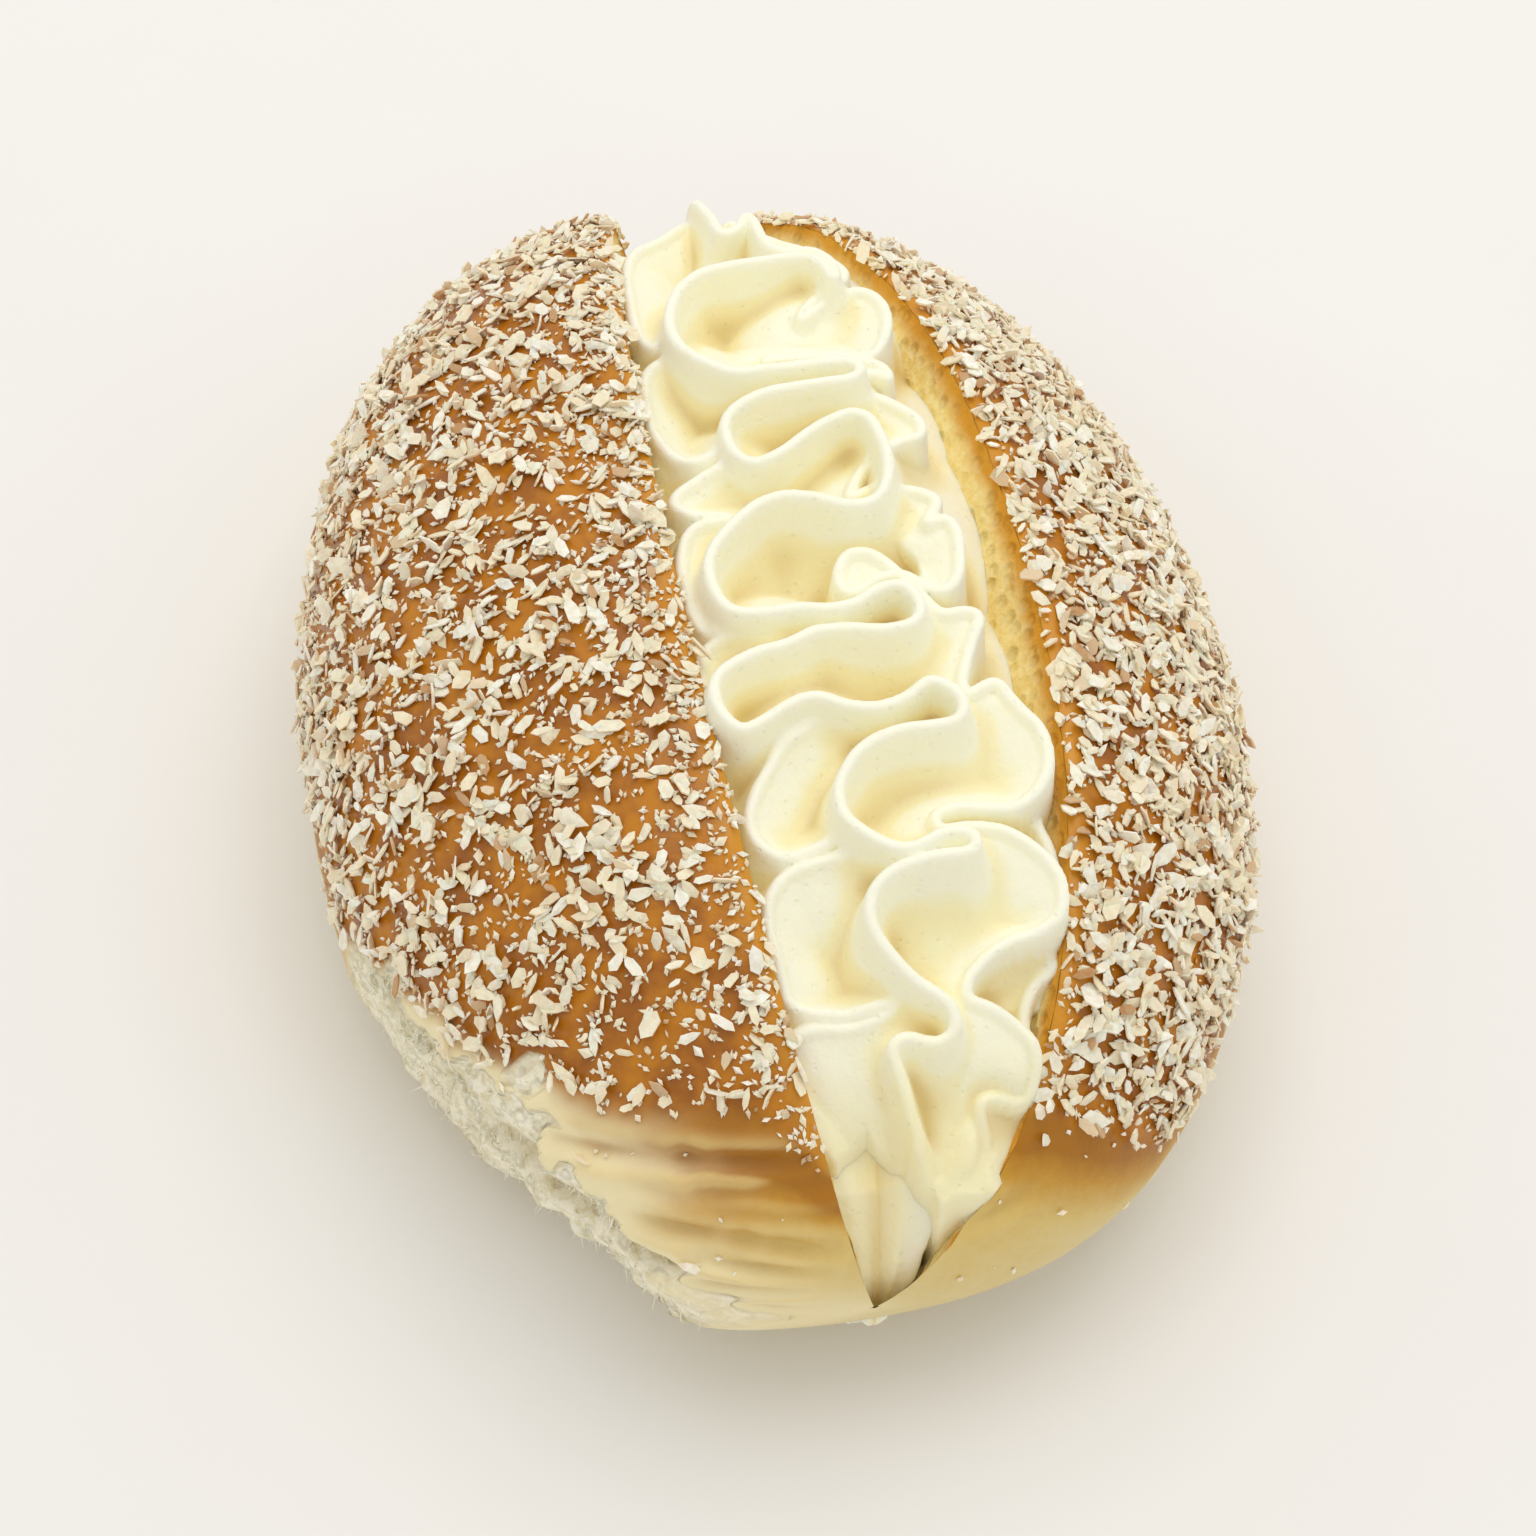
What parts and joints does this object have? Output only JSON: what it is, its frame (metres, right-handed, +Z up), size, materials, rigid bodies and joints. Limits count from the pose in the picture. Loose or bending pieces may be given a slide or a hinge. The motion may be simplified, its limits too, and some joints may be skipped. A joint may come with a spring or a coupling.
{
  "type": "cream bun",
  "caption": "Oval sweet bun, slit along the top and filled with a ruffled rope of whipped cream, its crown coated with coconut flakes.",
  "frame": {"origin": "under the middle of the bun, on the flat spot it rests on", "axes": "+Z up; +Y along the slit, away from the end where the cream tapers to a point; +X towards the wider half, which is folded out"},
  "size_m": [0.094, 0.1288, 0.0512],
  "materials": {
    "baked_crust": "glazed golden-brown crust with white coconut flakes",
    "whipped_cream": "smooth, slightly moist ivory cream"
  },
  "bodies": {
    "root": {"bun": "baked_crust", "cream": "whipped_cream"}
  },
  "joints": []
}
